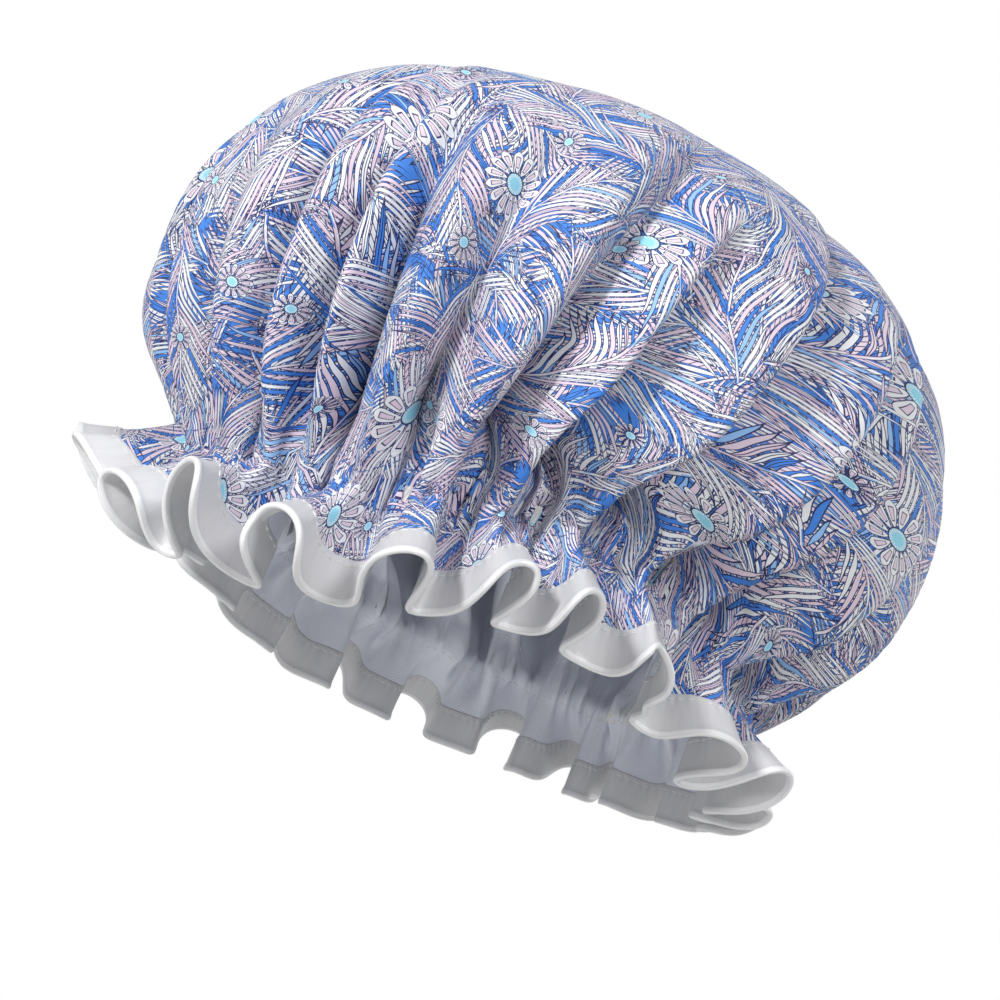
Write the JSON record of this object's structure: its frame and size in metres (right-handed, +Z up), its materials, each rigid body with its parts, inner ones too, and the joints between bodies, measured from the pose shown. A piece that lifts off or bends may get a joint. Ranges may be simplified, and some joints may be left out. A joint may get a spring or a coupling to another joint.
{
  "type": "shower cap",
  "caption": "Gathered shower cap: a printed cover and a waterproof lining drawn in by an elastic loop, with a puffed dome above and a satin-bound wavy frill below, worn to keep hair dry.",
  "frame": {"origin": "on the table under the middle of the cap, where its frill stands", "axes": "+Z up through the crown, +Y towards the back of the head, +X towards the wearer's left"},
  "size_m": [0.2206, 0.244, 0.169],
  "materials": {
    "outer_cover": "smooth printed cotton, leaf sprays in white and lavender on cobalt blue",
    "waterproof_lining": "coated, slightly glossy, bluish white",
    "elastic_band": "braided white elastic",
    "edge_binding": "white satin"
  },
  "bodies": {
    "root": {"outer_cover": "outer_cover", "waterproof_lining": "waterproof_lining", "elastic_band": "elastic_band", "edge_binding": "edge_binding"}
  },
  "joints": []
}
